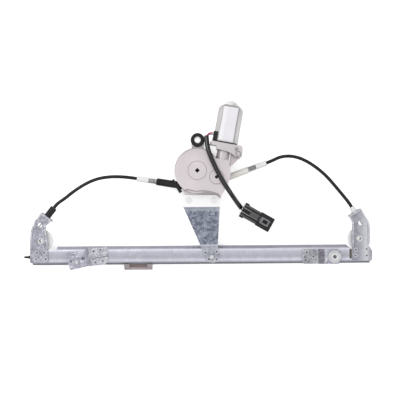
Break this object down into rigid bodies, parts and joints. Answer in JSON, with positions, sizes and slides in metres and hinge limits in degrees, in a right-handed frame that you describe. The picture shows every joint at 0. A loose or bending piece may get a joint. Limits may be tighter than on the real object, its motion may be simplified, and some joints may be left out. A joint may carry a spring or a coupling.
{
  "type": "window regulator",
  "caption": "Single-rail cable window regulator: geared motor, cable drum, two sheathed cable runs over end pulleys and a glass carrier that slides along a pressed steel rail.",
  "frame": {"origin": "front face of the rail's web, on the axis of its central screw hole", "axes": "+X along the rail away from the left pulley, +Y from the rail towards the motor, +Z out of the rail's web on the side of the gear housing"},
  "size_m": [0.5137, 0.2481, 0.0498],
  "materials": {
    "galvanised_rail": "zinc-plated sheet, satin",
    "galvanised_plate": "zinc-plated sheet, faint spangle",
    "rivet_steel": "zinc-plated, satin",
    "spring_steel": "drawn wire",
    "cable_steel": "stranded wire",
    "motor_steel": "zinc-plated deep drawn",
    "shaft_steel": "ground",
    "die_cast": "as cast, fine grain",
    "aluminium_sleeve": "turned",
    "black_plastic": "moulded, semi-matt",
    "natural_nylon": "translucent white",
    "cream_plastic": "moulded, satin",
    "slider_plastic": "off-white acetal",
    "wear_brown": "red-brown",
    "gear_plastic": "natural acetal",
    "rubber_black": "matt",
    "stop_rubber": "dark olive, matt",
    "label_white": "blank film",
    "bronze": "sintered",
    "carbon": "pressed carbon",
    "copper": "enamelled wire",
    "ferrite": "sintered",
    "wire_skin": "red and blue wire skins"
  },
  "bodies": {
    "root": {"guide_rail": "galvanised_rail", "right_stop": "stop_rubber", "left_bump_stop": "rubber_black", "left_end_bracket": "galvanised_rail", "right_end_bracket": "galvanised_rail", "left_pulley_rivet": "rivet_steel", "right_pulley_rivet": "rivet_steel", "motor_plate": "galvanised_plate", "plate_rivets": "rivet_steel", "left_mount": "galvanised_rail", "right_mount": "galvanised_rail", "mount_insert": "rivet_steel", "left_ferrule": "black_plastic", "right_ferrule": "natural_nylon", "left_guide_sleeve": "black_plastic", "right_guide_sleeve": "cream_plastic", "left_spring": "spring_steel", "right_spring": "spring_steel", "left_spring_ferrule": "natural_nylon", "right_spring_ferrule": "natural_nylon", "left_conduit": "black_plastic", "right_conduit": "black_plastic", "drive_cable": "cable_steel", "drum_housing": "black_plastic", "housing_screws": "rivet_steel", "gear_cover": "black_plastic", "gear_housing": "die_cast", "housing_foot": "die_cast", "vent_plug": "rubber_black", "mount_grommet": "rubber_black", "grommet_sleeve": "aluminium_sleeve", "shaft_bushes": "bronze", "brushes": "carbon", "brush_holder": "black_plastic", "magnets": "ferrite", "motor_can": "motor_steel", "motor_label": "label_white", "motor_screws": "rivet_steel", "connector_body": "black_plastic", "connector_lock": "black_plastic", "connector_terminals": "bronze", "harness_sheath": "rubber_black", "harness_leads": "wire_skin"},
    "armature": {"armature_shaft": "shaft_steel", "rotor_core": "shaft_steel", "armature_windings": "copper", "commutator": "copper"},
    "drum": {"worm_wheel": "gear_plastic", "wheel_dampers": "rubber_black", "output_shaft": "shaft_steel", "cable_drum": "gear_plastic"},
    "left_pulley": {"left_pulley": "natural_nylon"},
    "right_pulley": {"right_pulley": "natural_nylon"},
    "carrier": {"carrier_plate": "galvanised_plate", "carrier_slider": "slider_plastic", "carrier_rivets": "rivet_steel", "carrier_pad": "wear_brown", "glass_nut": "rivet_steel", "cable_nipples": "rivet_steel"}
  },
  "joints": [
    {"name": "armature_spin", "type": "hinge", "parent": "root", "child": "armature", "pos_m": [0.01225, 0.12129, 0.014], "axis": [0.1822, 0.9833, 0], "range_deg": [-17486, 45882]},
    {"name": "drum_spin", "type": "hinge", "parent": "root", "child": "drum", "pos_m": [-0.0202, 0.1273, 0], "axis": [0, 0, 1], "range_deg": [-655.96, 250.3]},
    {"name": "left_pulley_spin", "type": "hinge", "parent": "root", "child": "left_pulley", "pos_m": [-0.2514, 0.0258, -0.0055], "axis": [0, 0, 1], "range_deg": [-400.82, 1050.91]},
    {"name": "right_pulley_spin", "type": "hinge", "parent": "root", "child": "right_pulley", "pos_m": [0.2178, 0.0258, -0.0055], "axis": [0, 0, 1], "range_deg": [-400.82, 1050.91]},
    {"name": "carrier_slide", "type": "slide", "parent": "root", "child": "carrier", "axis": [1, 0, 0], "range_m": [-0.109, 0.286]}
  ],
  "couplings": [
    {"joint": "drum_spin", "follows": "armature_spin", "ratio": -0.014286},
    {"joint": "left_pulley_spin", "follows": "armature_spin", "ratio": 0.022894},
    {"joint": "right_pulley_spin", "follows": "armature_spin", "ratio": 0.022894},
    {"joint": "carrier_slide", "follows": "armature_spin", "m_per_rad": 0.00035714}
  ]
}
